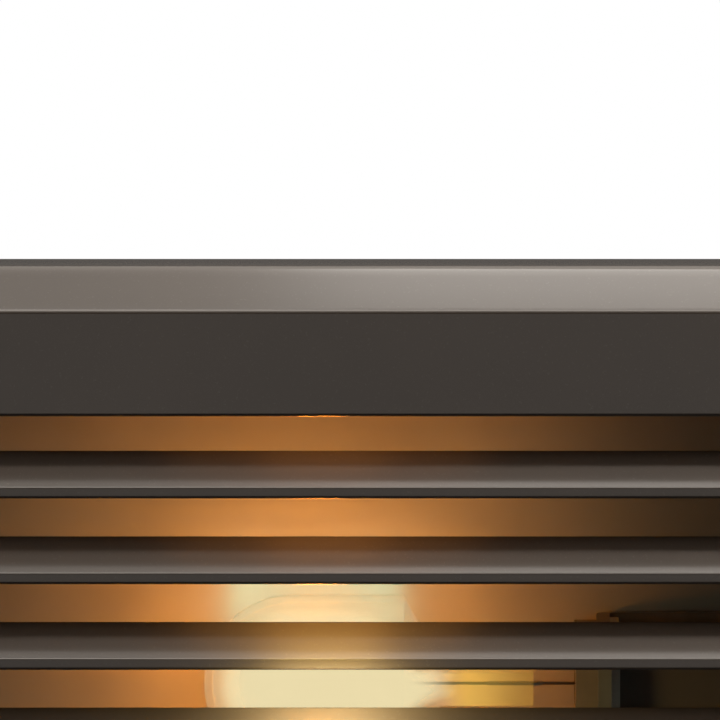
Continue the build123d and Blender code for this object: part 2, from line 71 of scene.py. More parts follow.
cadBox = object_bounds()
nodes = frame["nodes"]
mm = 0.001
white = (1.0, 1.0, 1.0)
noiseMiddle = 0.5  # a noise runs from 0 to 1
scene = bpy.context.scene
scene.view_settings.view_transform = "Standard"
scene.cycles.use_light_tree = False  # the small lamp inside is sampled as often as the softboxes
print("frame loaded:", len(nodes), "nodes")


class Wire:
    # one output of a node; sums and products of it add Math nodes
    def __init__(self, net, socket):
        self.net = net
        self.socket = socket

    def __add__(self, other):
        return self.net.math("ADD", self, other)

    def __sub__(self, other):
        return self.net.math("SUBTRACT", self, other)

    def __rsub__(self, other):
        return self.net.math("SUBTRACT", other, self)

    def __mul__(self, other):
        return self.net.math("MULTIPLY", self, other)

    __radd__ = __add__
    __rmul__ = __mul__


class Net:
    # a node tree, for shaders and for geometry
    def __init__(self, tree):
        self.tree = tree

    def node(self, kind, settings=None, sockets=None, out=0):
        # settings come first, because some of them change the sockets
        made = self.tree.nodes.new(kind)
        for key, value in (settings or {}).items():
            setattr(made, key, value)
        for key, value in (sockets or {}).items():
            socket = made.inputs[key]
            if isinstance(value, Wire):
                self.tree.links.new(value.socket, socket)
            elif isinstance(value, list):
                for wire in value:
                    self.tree.links.new(wire.socket, socket)
            elif isinstance(value, tuple) and len(value) == 3 and len(socket.default_value) == 4:
                socket.default_value = (*value, 1.0)
            else:
                socket.default_value = value
        return Wire(self, made.outputs[out])

    def math(self, operation, *values):
        return self.node("ShaderNodeMath", {"operation": operation}, dict(enumerate(values)))

    def point(self, x=0.0, y=0.0, z=0.0):
        return self.node("ShaderNodeCombineXYZ", {}, {0: x, 1: y, 2: z})

    def along(self, place, axis):
        return self.node("ShaderNodeSeparateXYZ", {}, {"Vector": place}, out=axis)

    def length(self, vector):
        return self.node("ShaderNodeVectorMath", {"operation": "LENGTH"}, {0: vector}, out="Value")

    def step(self, value, low, high):
        # 0 at low, 1 at high, smooth between
        return self.node("ShaderNodeMapRange", {"interpolation_type": "SMOOTHSTEP"},
                         {"Value": value, "From Min": low, "From Max": high})

    def noise(self, place, scale, detail=3.0, rough=0.6, stretch=None):
        if stretch:
            place = self.node("ShaderNodeMapping", {}, {"Vector": place, "Scale": stretch})
        return self.node("ShaderNodeTexNoise", {},
                         {"Vector": place, "Scale": scale, "Detail": detail, "Roughness": rough})

    def blend(self, factor, first, second):
        # colours mix here, because a Math node would turn them grey; 6 and 7 are the colour sockets
        return self.node("ShaderNodeMix", {"data_type": "RGBA"}, {0: factor, 6: first, 7: second}, out=2)

    def bump(self, height, strength, depth):
        return self.node("ShaderNodeBump", {}, {"Height": height, "Strength": strength, "Distance": depth})

    def skin(self, **sockets):
        return self.node("ShaderNodeBsdfPrincipled", {},
                         {key.replace("_", " "): value for key, value in sockets.items()})

    def mix(self, share, first, second):
        return self.node("ShaderNodeMixShader", {}, {0: share, 1: first, 2: second})

    def clear(self, tint, gloss, ior):
        # thin clear glass: see-through, with a mirror of the room by Fresnel
        through = self.node("ShaderNodeBsdfTransparent", {}, {"Color": tint})
        mirror = self.node("ShaderNodeBsdfGlossy", {}, {"Color": white, "Roughness": gloss})
        inside = self.node("ShaderNodeNewGeometry", out="Backfacing")
        return self.mix(self.node("ShaderNodeFresnel", {}, {"IOR": ior}) * (1.0 - inside), through, mirror)

    def close(self, shader, kind="ShaderNodeOutputMaterial"):
        output = self.tree.nodes.new(kind)
        self.tree.links.new(shader.socket, output.inputs["Surface"])


def newMaterial(name):
    material = bpy.data.materials.new(name)
    material.use_nodes = True
    material.node_tree.nodes.clear()
    net = Net(material.node_tree)
    return material, net, net.node("ShaderNodeTexCoord", out="Object")


def darker(color, share):
    return tuple(value * share for value in color)


print("tools ready")

# Finishes. Every scale is per metre.

coatLook = {
    "brown": (0.053, 0.037, 0.026),
    "deep": (0.044, 0.031, 0.022),
    "cloudScale": 45.0,      # slow change between the two browns
    "cloudRange": (0.3, 0.7),
    "grainTone": (0.066, 0.048, 0.033),
    "grainScale": 4200.0,    # fine texture of the powder
    "grainShare": 0.35,
    "fleckTone": (0.12, 0.10, 0.08),
    "fleckScale": 5200.0,
    "fleckRange": (0.66, 0.74),
    "fleckShare": 0.22,
    "peelScale": 700.0,      # waviness under the powder
    "rough": 0.48,
    "roughByGrain": 0.16,
    "roughByCloud": 0.08,
    "smoothByFleck": 0.05,
    "bumpByGrain": 0.65,
    "bumpByPeel": 0.9,
    "bumpStrength": 0.35,
    "bumpDepth": 0.02 * mm,
    "gloss": 0.30,           # specular level
    "skin": 1.0,             # the smooth skin over the powder
    "skinRough": 0.13,
    "skinIor": 1.8,
}
castLook = dict(coatLook, brown=(0.055, 0.036, 0.021), deep=(0.040, 0.027, 0.017), grainScale=2600.0,
                peelScale=420.0, rough=0.50, gloss=0.40, skin=0.15, skinRough=0.30, skinIor=1.5)


def makeCoat(name, look):
    material, net, place = newMaterial(name)
    grain = net.noise(place, look["grainScale"])
    peel = net.noise(place, look["peelScale"], detail=2.0, rough=0.5)
    clouds = net.noise(place, look["cloudScale"])
    flecks = net.step(net.noise(place, look["fleckScale"], detail=1.0, rough=0.5), *look["fleckRange"])
    color = net.blend(net.step(clouds, *look["cloudRange"]), look["deep"], look["brown"])
    color = net.blend(grain * look["grainShare"], color, look["grainTone"])
    color = net.blend(flecks * look["fleckShare"], color, look["fleckTone"])
    rough = look["rough"] + (grain - noiseMiddle) * look["roughByGrain"]
    rough = rough + (clouds - noiseMiddle) * look["roughByCloud"] - flecks * look["smoothByFleck"]
    height = grain * look["bumpByGrain"] + peel * look["bumpByPeel"]
    net.close(net.skin(Base_Color=color, Roughness=rough, Specular_IOR_Level=look["gloss"],
                       Normal=net.bump(height, look["bumpStrength"], look["bumpDepth"]),
                       Coat_Weight=look["skin"], Coat_Roughness=look["skinRough"],
                       Coat_IOR=look["skinIor"]))
    return material


metalLook = {
    "lineStretch": 0.04,     # along the rolled or drawn lines
    "lineMiddle": 0.4,
    "lineShare": 0.5,
    "lineBrightness": 1.25,
    "stainScale": 160.0,
    "stainRange": (0.45, 0.75),
    "stainShare": 0.6,
    "stainDarkness": 0.62,
    "roughByStain": 0.2,
    "bumpStrength": 0.25,
    "bumpDepth": 0.02 * mm,
}


def makeMetal(name, color, rough, lineScale, linesAlong="x", metallic=1.0, dull=None):
    # fine lines one way and a little tarnish
    material, net, place = newMaterial(name)
    look = metalLook
    stretch = tuple(look["lineStretch"] if axis == linesAlong else 1.0 for axis in "xyz")
    lines = net.noise(place, lineScale, stretch=stretch)
    stains = net.noise(place, look["stainScale"], detail=4.0)
    dull = dull or darker(color, look["stainDarkness"])
    bright = tuple(min(value * look["lineBrightness"], 1.0) for value in color)
    tone = net.blend(net.step(stains, *look["stainRange"]) * look["stainShare"], color, dull)
    tone = net.blend((lines - look["lineMiddle"]) * look["lineShare"], tone, bright)
    net.close(net.skin(Base_Color=tone, Metallic=metallic,
                       Roughness=rough + (stains - noiseMiddle) * look["roughByStain"],
                       Normal=net.bump(lines, look["bumpStrength"], look["bumpDepth"])))
    return material


mouldedLook = {
    "cloudScale": 120.0,
    "cloudRange": (0.35, 0.7),
    "roughByGrain": 0.15,
    "bumpDepth": 0.03 * mm,
    "gloss": 0.45,           # specular level
    # painted shade along X, for pieces that ask for it
    "paintedShadeFadesOver": 1.5 * mm,
    "paintedShadeDarkness": 0.5,
}


def makeMoulded(name, color, second, rough, grainScale, bump=0.3, paintedShadeFrom=None):
    # plastic, rubber or ceramic: two tones in soft clouds and a matt grain, and painted shade past a given
    # place on X
    material, net, place = newMaterial(name)
    look = mouldedLook
    grain = net.noise(place, grainScale)
    clouds = net.noise(place, look["cloudScale"], detail=4.0)
    tone = net.blend(net.step(clouds, *look["cloudRange"]), color, second)
    # painted shade: darker along X past the given place
    if paintedShadeFrom:
        dark = net.step(net.along(place, "X"), paintedShadeFrom, paintedShadeFrom + look["paintedShadeFadesOver"])
        tone = net.blend(dark, tone, darker(color, look["paintedShadeDarkness"]))
    net.close(net.skin(Base_Color=tone, Specular_IOR_Level=look["gloss"],
                       Roughness=rough + (grain - noiseMiddle) * look["roughByGrain"],
                       Normal=net.bump(grain, bump, look["bumpDepth"])))
    return material


lensLook = {
    "tint": (0.93, 0.95, 0.93),
    "glassRough": 0.03,
    "ior": 1.14,
    "dust": (0.75, 0.70, 0.62),
    "dustRough": 0.9,
    "filmScale": 260.0,      # patches where the dust lies
    "filmRange": (0.52, 0.85),
    "filmShare": 0.012,
}


def makeLensGlass(name, look):
    material, net, place = newMaterial(name)
    film = net.step(net.noise(place, look["filmScale"], detail=5.0, rough=0.65), *look["filmRange"])
    net.close(net.mix(film * look["filmShare"], net.clear(look["tint"], look["glassRough"], look["ior"]),
                      net.skin(Base_Color=look["dust"], Roughness=look["dustRough"])))
    return material


lampLook = {
    "tint": (0.97, 0.97, 0.96),
    "glassRough": 0.02,
    "ior": 1.12,
    "frost": (0.06, 0.055, 0.05),
    "frostRough": 0.55,
    "glow": (0.315, 0.258, 0.155),
    "glowStrength": 3.0,
    "speckleScale": 1500.0,
    "speckleShare": 0.25,
    "speckleDarkness": 0.92,
    "neck": (0.62, 0.42, 0.08),           # glow in the narrow end, near the bulb and at its far end
    "neckEnd": (0.26, 0.14, 0.02),
    "neckFrom": (8.0 * mm, 11.0 * mm),    # places along X
    "neckFades": (10.0 * mm, 16.75 * mm),
    "neckStop": (16.75 * mm, 16.55 * mm),
    "neckFrost": 0.15,
    "frostFades": (11.5 * mm, 6.0 * mm),  # place along X plus height off the axis
    "rimFades": (0.62, 0.02),             # the frosting thins towards the bulb's outline
}


def makeLampGlass(name, look):
    material, net, place = newMaterial(name)
    lengthwise = net.along(place, "X")
    speckle = net.noise(place, look["speckleScale"], detail=2.0, rough=0.5)
    dimGlow = darker(look["glow"], look["speckleDarkness"])
    tone = net.blend(speckle * look["speckleShare"], look["glow"], dimGlow)
    tone = net.blend(net.step(lengthwise, *look["neckFrom"]), tone, look["neck"])
    tone = net.blend(net.step(lengthwise, *look["neckFades"]), tone, look["neckEnd"])
    frost = net.skin(Base_Color=look["frost"], Roughness=look["frostRough"], Emission_Color=tone,
                     Emission_Strength=look["glowStrength"])
    facing = net.node("ShaderNodeLayerWeight", {}, {"Blend": 0.5}, out="Facing")
    offAxis = net.math("ABSOLUTE", net.along(place, "Z"))
    bulb = net.step(lengthwise + offAxis, *look["frostFades"]) * net.step(facing, *look["rimFades"])
    neck = net.step(lengthwise, *look["neckStop"]) * look["neckFrost"]
    net.close(net.mix(net.math("MAXIMUM", bulb, neck),
                      net.clear(look["tint"], look["glassRough"], look["ior"]), frost))
    return material


filamentLook = {
    "cooler": (1.0, 0.62, 0.26),
    "hotter": (1.0, 0.74, 0.42),
    "heatScale": 900.0,
    "strength": 12.0,
    "wire": (0.3, 0.28, 0.26),
    "rough": 0.5,
}


def makeFilament(name, look):
    material, net, place = newMaterial(name)
    heat = net.noise(place, look["heatScale"], detail=2.0, rough=0.5)
    tone = net.blend(heat, look["cooler"], look["hotter"])
    net.close(net.skin(Base_Color=look["wire"], Roughness=look["rough"], Emission_Color=tone,
                       Emission_Strength=look["strength"]))
    return material


reflectorLook = {
    "bright": (0.86, 0.84, 0.80),
    "matt": (0.78, 0.75, 0.70),
    "mattScale": 90.0,
    "mattRange": (0.35, 0.8),
    "lineScale": 1400.0,                        # faint rolling lines along X
    "lineStretch": (0.03, 1.0, 1.0),
    "metallic": 0.60,
    "rough": 0.50,
    "roughByLine": 0.2,
    "bumpStrength": 0.2,
    "bumpDepth": 0.02 * mm,
    "paintedHolderShadow": (0.16, 0.14, 0.12),           # painted shadow of the lamp holder, darker towards it
    "paintedHolderShadowRange": (6.0 * mm, 36.0 * mm),
    "paintedHolderShadowShare": 0.85,
    # painted shade towards the far end, away from the lamp
    "paintedFarShade": (0.30, 0.26, 0.22),
    "paintedFarShadeRange": (-12.0 * mm, -45.0 * mm),
    "paintedFarShadeShare": 0.55,
    "paintedBulbShade": (0.10, 0.10, 0.10),                # painted shade right behind the bulb, toning down the lamp's bright spot
    "paintedBulbShadePlace": (-2.7 * mm, 47.7 * mm, 0.0),
    "paintedBulbShadeRange": (16.0 * mm, 6.0 * mm),
    "paintedBulbShadeShare": 0.76,
}


def makeReflector(name, look):
    material, net, place = newMaterial(name)
    lines = net.noise(place, look["lineScale"], stretch=look["lineStretch"])
    spots = net.step(net.noise(place, look["mattScale"], detail=4.0), *look["mattRange"])
    lengthwise = net.along(place, "X")
    tone = net.blend(spots, look["bright"], look["matt"])
    # painted shadow of the lamp holder on one side and painted shade at the far end
    for side in ("paintedHolderShadow", "paintedFarShade"):
        share = net.step(lengthwise, *look[side + "Range"]) * look[side + "Share"]
        tone = net.blend(share, tone, look[side])
    # painted shade right behind the bulb
    offset = net.node("ShaderNodeVectorMath", {"operation": "SUBTRACT"}, {0: place, 1: look["paintedBulbShadePlace"]})
    paintedBulbShade = net.step(net.length(offset), *look["paintedBulbShadeRange"]) * look["paintedBulbShadeShare"]
    tone = net.blend(paintedBulbShade, tone, look["paintedBulbShade"])
    net.close(net.skin(Base_Color=tone, Metallic=look["metallic"],
                       Roughness=look["rough"] + (lines - noiseMiddle) * look["roughByLine"],
                       Normal=net.bump(lines, look["bumpStrength"], look["bumpDepth"])))
    return material


finishes = {
    "bronze_powder_coat": makeCoat("bronzePowderCoat", coatLook),
    "clear_glass": makeLensGlass("lensGlass", lensLook),
    "lamp_glass": makeLampGlass("lampGlass", lampLook),
    "stainless": makeMetal("stainlessScrew", (0.62, 0.60, 0.57), rough=0.30, lineScale=2400.0),
    "bronze_screw": makeMetal("blackenedBronze", (0.13, 0.105, 0.085), rough=0.38, lineScale=2200.0,
                              linesAlong="z", dull=(0.07, 0.06, 0.05)),
    "spring_steel": makeMetal("springSteel", (0.50, 0.46, 0.40), rough=0.34, lineScale=2600.0,
                              metallic=0.6),
    "zinc_sheet": makeMetal("zincSheet", (0.30, 0.25, 0.18), rough=0.46, lineScale=1100.0,
                            linesAlong="z", metallic=0.45),
    "bright_sheet": makeReflector("reflectorSheet", reflectorLook),
    "black_epdm": makeMoulded("blackRubber", (0.022, 0.022, 0.023), (0.034, 0.033, 0.032),
                              rough=0.72, grainScale=3000.0),
    "silicone": makeMoulded("siliconeSeal", (0.66, 0.65, 0.61), (0.58, 0.56, 0.52),
                            rough=0.55, grainScale=2400.0),
    # the holder's body behind its rim gets painted shade, standing in for the rim's shadow
    "phenolic": makeMoulded("phenolicHolder", (0.26, 0.18, 0.11), (0.20, 0.135, 0.08),
                            rough=0.42, grainScale=2600.0, paintedShadeFrom=22.8 * mm),
    "brass_contact": makeMetal("brassContact", (0.72, 0.55, 0.28), rough=0.30, lineScale=2600.0),
    "tungsten": makeMetal("tungstenWire", (0.36, 0.34, 0.32), rough=0.42, lineScale=4000.0),
    "black_insulation": makeMoulded("blackInsulation", (0.018, 0.018, 0.018), (0.026, 0.025, 0.025),
                                    rough=0.42, grainScale=2600.0, bump=0.15),
    "white_insulation": makeMoulded("whiteInsulation", (0.74, 0.73, 0.68), (0.66, 0.64, 0.58),
                                    rough=0.45, grainScale=2600.0, bump=0.15),
    "connector_shell": makeMoulded("connectorShell", (0.58, 0.24, 0.05), (0.50, 0.20, 0.04),
                                   rough=0.40, grainScale=2600.0),
}
castCoat = makeCoat("castHousingCoat", castLook)
filamentGlow = makeFilament("litFilament", filamentLook)


def dress(piece, material):
    piece.data.materials.clear()
    piece.data.materials.append(material)


slotOf = {row["node"]: row["material_slot"] for row in frame["record"]["subparts"]}
for name, piece in nodes.items():
    dress(piece, finishes[slotOf[name]])
for name in ("housing", "conduit_plug_left", "conduit_plug_right"):
    dress(nodes[name], castCoat)
dress(nodes["lamp_filament"], filamentGlow)
print("finishes ready:", len(finishes))

# Shared ways of making pieces


def soften(piece, sharpFrom, flatsMarked=False):
    # broad faces stay flat and the rounds between them shade smoothly; sharpFrom is in degrees
    piece.data.shade_smooth()
    piece.data.set_sharp_from_angle(angle=math.radians(sharpFrom))
    weighted = piece.modifiers.new("evenNormals", "WEIGHTED_NORMAL")
    weighted.keep_sharp = True
    weighted.use_face_influence = flatsMarked
    weighted.weight = 50 if flatsMarked else 100  # 50 is neutral, and at 100 the broadest face decides


def addPiece(mesh, name, material):
    piece = bpy.data.objects.new(name, mesh)
    scene.collection.objects.link(piece)
    dress(piece, material)
    return piece


def newRecipe(name, inputs):
    # a geometry tree with one named input for each size
    tree = bpy.data.node_groups.new(name, "GeometryNodeTree")
    tree.interface.new_socket("Geometry", in_out="OUTPUT", socket_type="NodeSocketGeometry")
    kinds = {float: "NodeSocketFloat", int: "NodeSocketInt"}
    for key, value in inputs.items():
        made = tree.interface.new_socket(key, in_out="INPUT", socket_type=kinds[type(value)])
        made.default_value = value
    entry = tree.nodes.new("NodeGroupInput")
    net = Net(tree)
    return net, {key: Wire(net, entry.outputs[key]) for key in inputs}


def bakeRecipe(net, shape, values, name, material):
    # ends the tree, sets its inputs by their identifiers and turns the result into a plain mesh
    real = net.node("GeometryNodeRealizeInstances", {}, {"Geometry": shape})
    done = net.node("GeometryNodeSetMaterial", {}, {"Geometry": real, "Material": material})
    output = net.tree.nodes.new("NodeGroupOutput")
    net.tree.links.new(done.socket, output.inputs["Geometry"])
    carrier = bpy.data.objects.new(name + "Carrier", bpy.data.meshes.new(name + "Empty"))
    scene.collection.objects.link(carrier)
    modifier = carrier.modifiers.new("recipe", "NODES")
    modifier.node_group = net.tree
    for item in net.tree.interface.items_tree:
        if item.in_out == "INPUT":
            modifier[item.identifier] = values[item.name]
    depsgraph = bpy.context.evaluated_depsgraph_get()
    mesh = bpy.data.meshes.new_from_object(carrier.evaluated_get(depsgraph))
    mesh.name = name
    carrier.modifiers.remove(modifier)
    bpy.data.objects.remove(carrier)
    return addPiece(mesh, name, material)


def addLight(name, kind, watts, color, place, turn=0.0, body=None, **sizes):
    # at a turn of 0 it shines straight down, and a turn about X tips it towards +Y
    data = bpy.data.lights.new(name, kind)
    data.energy = watts
    data.color = color
    for key, value in sizes.items():
        setattr(data, key, value)
    light = bpy.data.objects.new(name, data)
    light.location = place
    light.rotation_euler.x = turn
    light.visible_camera = False
    scene.collection.objects.link(light)
    if body:
        light.parent = frame["bodies"][body]
    return light


# Louvre blades

bladeSizes = {
    "Count": 7,
    "Pitch": 7.63 * mm,
    "Length": 180.8 * mm,
    "FrontY": -12.0 * mm,
    "Depth": 3.35 * mm,      # front lip to rear edge
    "Rise": 3.35 * mm,
    "Lip": 1.35 * mm,
    "LipRound": 0.25 * mm,   # top of the lip
    "BackRound": 0.25 * mm,  # the other three edges
    "RoundSteps": 8,
    "MergeWithin": 0.001 * mm,
}


def makeBlades(sizes, material):
    net, given = newRecipe("louvreBlades", sizes)
    halfHeight = (given["Rise"] + given["Lip"]) * 0.5
    rearY = given["FrontY"] + given["Depth"]
    section = net.node("GeometryNodeCurvePrimitiveQuadrilateral", {"mode": "POINTS"}, {
        "Point 1": net.point(given["FrontY"], 0.0 - halfHeight),
        "Point 2": net.point(given["FrontY"], given["Lip"] - halfHeight),
        "Point 3": net.point(rearY, halfHeight),
        "Point 4": net.point(rearY, halfHeight - given["Lip"]),
    })
    lipTop = 1  # the corner at Point 2, counted from 0; sockets 2 and 3 are the whole numbers to compare
    onLip = net.node("FunctionNodeCompare", {"data_type": "INT", "operation": "EQUAL"},
                     {2: net.node("GeometryNodeInputIndex"), 3: lipTop})
    roundSize = given["BackRound"] + (given["LipRound"] - given["BackRound"]) * onLip
    section = net.node("GeometryNodeFilletCurve", {"mode": "POLY"},
                       {"Curve": section, "Radius": roundSize, "Count": given["RoundSteps"]})
    nearEnd = net.node("GeometryNodeFillCurve", {"mode": "NGONS"}, {"Curve": section})
    drawn = net.node("GeometryNodeExtrudeMesh", {"mode": "FACES"},
                     {"Mesh": nearEnd, "Offset": net.point(z=given["Length"]), "Offset Scale": 1.0,
                      "Individual": False})
    closing = net.node("GeometryNodeFlipFaces", {}, {"Mesh": nearEnd})
    bar = net.node("GeometryNodeJoinGeometry", {}, {"Geometry": [drawn, closing]})
    bar = net.node("GeometryNodeMergeByDistance", {}, {"Geometry": bar, "Distance": given["MergeWithin"]})
    bar = net.node("GeometryNodeTransform", {},
                   {"Geometry": bar, "Translation": net.point(given["Length"] * -0.5),
                    "Rotation": (math.pi / 2, 0.0, math.pi / 2)})
    topRow = net.point(z=(given["Count"] - 1) * given["Pitch"] * 0.5)
    rows = net.node("GeometryNodeMeshLine", {}, {"Count": given["Count"], "Start Location": topRow,
                                                 "Offset": net.point(z=given["Pitch"] * -1.0)})
    blades = net.node("GeometryNodeInstanceOnPoints", {}, {"Points": rows, "Instance": bar})
    return bakeRecipe(net, blades, sizes, "louvre_blades", material)


louvreBlades = makeBlades(bladeSizes, finishes["bronze_powder_coat"])
soften(louvreBlades, sharpFrom=40)
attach(louvreBlades, "faceplate")
print("louvre blades:", len(louvreBlades.data.polygons), "faces")

# Face frame: the casting round the blades

frameSizes = {
    "joinWithin": 0.002 * mm,
    "openingHalfHeight": 28.15 * mm,
    "openingRear": -8.6 * mm,
    "longFace": 20.0 * mm,           # a blade's triangles run from end to end
    "broadArea": 60.0 * mm * mm,     # a plane larger than this keeps its own normal
    "middleArea": 6.0 * mm * mm,     # and one smaller than this follows its neighbours
    "planeStep": 0.02 * mm,          # faces whose planes are this near count as one plane
    "normalDecimals": 2,
}


def markFlats(shape, sizes):
    # thin triangles in a broad plane keep its normal; the Weighted Normal modifier reads this layer
    strength = shape.faces.layers.int.new("__mod_weightednormals_faceweight")
    strong, middle, weak = 16384, 0, -16384
    shape.normal_update()
    planes = {}
    for face in shape.faces:
        distance = face.normal.dot(face.verts[0].co) / sizes["planeStep"]
        key = (*(round(value, sizes["normalDecimals"]) for value in face.normal), round(distance))
        planes.setdefault(key, []).append(face)
    for faces in planes.values():
        area = sum(face.calc_area() for face in faces)
        for face in faces:
            if area > sizes["broadArea"]:
                face[strength] = strong
            else:
                face[strength] = middle if area > sizes["middleArea"] else weak


def makeFaceFrame(sizes, material):
    # a CAD node's mesh is loose triangles, so this copy has them joined
    mesh = nodes["louvred_faceplate"].data.copy()
    shape = bmesh.new()
    shape.from_mesh(mesh)
    bmesh.ops.remove_doubles(shape, verts=shape.verts, dist=sizes["joinWithin"])
    bladeFaces = []
    for face in shape.faces:
        xs, ys, zs = zip(*(vert.co for vert in face.verts))
        inOpening = max(map(abs, zs)) < sizes["openingHalfHeight"] and max(ys) < sizes["openingRear"]
        if inOpening and max(xs) - min(xs) > sizes["longFace"]:
            bladeFaces.append(face)
    bmesh.ops.delete(shape, geom=bladeFaces, context="FACES")
    markFlats(shape, sizes)
    shape.to_mesh(mesh)
    shape.free()
    print("blade faces left out of the face frame:", len(bladeFaces))
    return addPiece(mesh, "face_frame", material)


faceFrame = makeFaceFrame(frameSizes, finishes["bronze_powder_coat"])
soften(faceFrame, sharpFrom=32, flatsMarked=True)
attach(faceFrame, "faceplate")
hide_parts("louvred_faceplate")
print("face frame:", len(faceFrame.data.polygons), "faces")

# Lamp. Its axis runs along X.

lampAxisY = 34.0 * mm

coilSizes = {
    "Turns": 15.0,
    "TurnSteps": 16,
    "CoilRadius": 0.42 * mm,
    "WireRadius": 0.09 * mm,
    "WireSides": 6,
    "Length": 4.5 * mm,      # along Y
    "MiddleX": -0.7 * mm,
    "MiddleY": lampAxisY,
}


def makeCoil(sizes, material):
    net, given = newRecipe("filamentCoil", sizes)
    helix = net.node("GeometryNodeCurveSpiral", {},
                     {"Resolution": given["TurnSteps"], "Rotations": given["Turns"],
                      "Start Radius": given["CoilRadius"], "End Radius": given["CoilRadius"],
                      "Height": given["Length"]})
    ring = net.node("GeometryNodeCurvePrimitiveCircle", {},
                    {"Resolution": given["WireSides"], "Radius": given["WireRadius"]})
    wire = net.node("GeometryNodeCurveToMesh", {},
                    {"Curve": helix, "Profile Curve": ring, "Fill Caps": True})
    rearEnd = net.point(given["MiddleX"], given["MiddleY"] + given["Length"] * 0.5)
    wire = net.node("GeometryNodeTransform", {}, {"Geometry": wire, "Translation": rearEnd,
                                                  "Rotation": (math.pi / 2, 0.0, 0.0)})
    return bakeRecipe(net, wire, sizes, "filament_coil", material)


filament = makeCoil(coilSizes, filamentGlow)
filament.data.shade_smooth()
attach(filament, "lamp")
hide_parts("lamp_filament")

# the lights below stand for the glow: neither piece lights a matt surface itself,
# and the glass casts no shadow and isn't seen in the gloss of other pieces
filament.visible_diffuse = False
nodes["lamp_envelope"].visible_shadow = False
nodes["lamp_envelope"].visible_diffuse = False
nodes["lamp_envelope"].visible_glossy = False

pinchSizes = {
    "Wires": 2,
    "Spacing": 1.0 * mm,     # along Y
    "WireRadius": 0.09 * mm,
    "WireSides": 12,
    "FromX": 5.0 * mm,
    "Length": 20.0 * mm,
    "AxisY": lampAxisY,
    "FoilLength": 5.0 * mm,  # flat foil in the middle of the seal
    "FoilWidth": 0.8 * mm,
    "FoilThickness": 0.198 * mm,
}


def makePinchWires(sizes, material):
    net, given = newRecipe("pinchWires", sizes)
    frontWire = net.point(given["FromX"], given["AxisY"] - given["Spacing"] * 0.5)
    starts = net.node("GeometryNodeMeshLine", {}, {"Count": given["Wires"], "Start Location": frontWire,
                                                   "Offset": net.point(y=given["Spacing"])})
    halfway = net.point(given["Length"] * 0.5)
    rod = net.node("GeometryNodeMeshCylinder", {},
                   {"Vertices": given["WireSides"], "Radius": given["WireRadius"],
                    "Depth": given["Length"]})
    rod = net.node("GeometryNodeTransform", {}, {"Geometry": rod, "Translation": halfway,
                                                 "Rotation": (0.0, math.pi / 2, 0.0)})
    foilSize = net.point(given["FoilLength"], given["FoilWidth"], given["FoilThickness"])
    foil = net.node("GeometryNodeMeshCube", {}, {"Size": foilSize})
    foil = net.node("GeometryNodeTransform", {}, {"Geometry": foil, "Translation": halfway})
    wire = net.node("GeometryNodeJoinGeometry", {}, {"Geometry": [rod, foil]})
    wires = net.node("GeometryNodeInstanceOnPoints", {}, {"Points": starts, "Instance": wire})
    return bakeRecipe(net, wires, sizes, "pinch_wires", material)


pinchWires = makePinchWires(pinchSizes, finishes["tungsten"])
soften(pinchWires, sharpFrom=40)
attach(pinchWires, "lamp")
print("lamp pieces ready")

lampLight = {
    "watts": 0.0225,
    "color": (1.0, 0.30, 0.024),
    "place": (-2.7 * mm, lampAxisY, 0.0),
    "radius": 2.5 * mm,
}
addLight("lampLight", "POINT", lampLight["watts"], lampLight["color"], lampLight["place"], body="lamp",
         shadow_soft_size=lampLight["radius"])

# whitens the reflector right behind the bulb
coreLight = {
    "watts": 0.00068,
    "color": (0.06, 0.84, 0.72),
    "place": (-3.0 * mm, 44.6 * mm, 5.0 * mm),
    "turn": math.pi / 2,     # towards the reflector
    "across": 15.0 * mm,
    "high": 7.0 * mm,
}
addLight("lampCore", "AREA", coreLight["watts"], coreLight["color"], coreLight["place"],
         coreLight["turn"], "lamp", shape="RECTANGLE", size=coreLight["across"],
         size_y=coreLight["high"])

glareSizes = {
    "high": 1.5 * mm,
    "turn": math.radians(30),  # down and into the wall
}
glarePlan = {
    # the lamp's glare on the blades in front of it: (watts, colour, place in mm, width in mm)
    "glareUpper": (0.0034, (1.0, 0.80, 0.24), (-1.7, -16.0, 9.5), 9.0),
    "glareLower": (0.0080, (1.0, 0.95, 0.60), (-1.7, -15.5, 4.6), 9.0),
    "glareRearTop": (0.00050, (1.0, 0.44, 0.12), (-1.9, -11.4, 27.9), 10.0),
    "glareRearTopWide": (0.00050, (1.0, 0.44, 0.12), (-1.9, -11.4, 27.9), 26.0),
    "glareRearMiddle": (0.00065, (1.0, 0.45, 0.11), (-1.9, -11.4, 20.3), 10.0),
    "glareRearMiddleWide": (0.00060, (1.0, 0.45, 0.11), (-1.9, -11.4, 20.3), 26.0),
    "glareRearLow": (0.00090, (1.0, 0.46, 0.09), (-1.9, -11.4, 12.67), 10.0),
    "glareRearLowWide": (0.00080, (1.0, 0.46, 0.09), (-1.9, -11.4, 12.67), 24.0),
}
for name, (watts, color, spot, across) in glarePlan.items():
    glare = addLight(name, "AREA", watts, color, Vector(spot) * mm, glareSizes["turn"], "faceplate",
                     shape="RECTANGLE", size=across * mm, size_y=glareSizes["high"])
    glare.visible_glossy = False
print("lamp lit")

# Floor, room, lights and camera

floorLook = {
    "drop": 0.2 * mm,         # below the object
    "halfWidth": 3.0,
    "pale": (0.80, 0.80, 0.79),
    "shade": (0.76, 0.76, 0.75),
    "mottleScale": 30.0,
    "rough": 0.8,
    "whitens": (0.16, 0.42),  # its own tone within the first radius, plain white beyond the second
}


